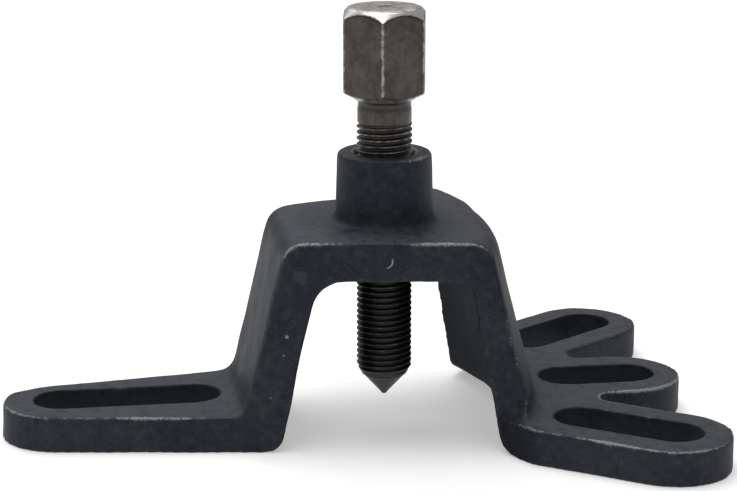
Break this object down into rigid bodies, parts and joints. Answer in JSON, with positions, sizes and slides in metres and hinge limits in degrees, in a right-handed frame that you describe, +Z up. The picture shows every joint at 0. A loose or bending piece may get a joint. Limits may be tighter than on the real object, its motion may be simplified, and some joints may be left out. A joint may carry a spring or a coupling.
{
  "type": "ball joint separator",
  "caption": "Bridge-shaped steel yoke with slotted arm and fan-shaped slotted foot, and a hex-headed forcing screw with a conical point threaded down through its boss.",
  "frame": {"origin": "on the ground, under the middle of the yoke's length and width", "axes": "+Z up along the forcing screw, +X from the arm towards the three-fingered foot, +Y across the yoke"},
  "size_m": [0.1752, 0.1216, 0.1067],
  "materials": {
    "yoke": "satin blue-black over a fine forged texture, worn to bare metal on the edges",
    "screw": "bare machined steel, warm grey and oily, dull on the flats and bright on the chamfers"
  },
  "bodies": {
    "yoke": {"yoke": "yoke"},
    "point": {"screw_point": "screw"},
    "screw": {"forcing_screw": "screw"}
  },
  "joints": [
    {"name": "screw_feed", "type": "slide", "parent": "yoke", "child": "point", "axis": [0, 0, -1], "range_m": [-0.0285, 0.008]},
    {"name": "screw_turn", "type": "hinge", "parent": "point", "child": "screw", "pos_m": [0.00952, 0, 0.05], "axis": [0, 0, -1], "range_deg": [-6850, 1930]}
  ],
  "couplings": [
    {"joint": "screw_turn", "follows": "screw_feed", "rad_per_m": 4188.8}
  ]
}
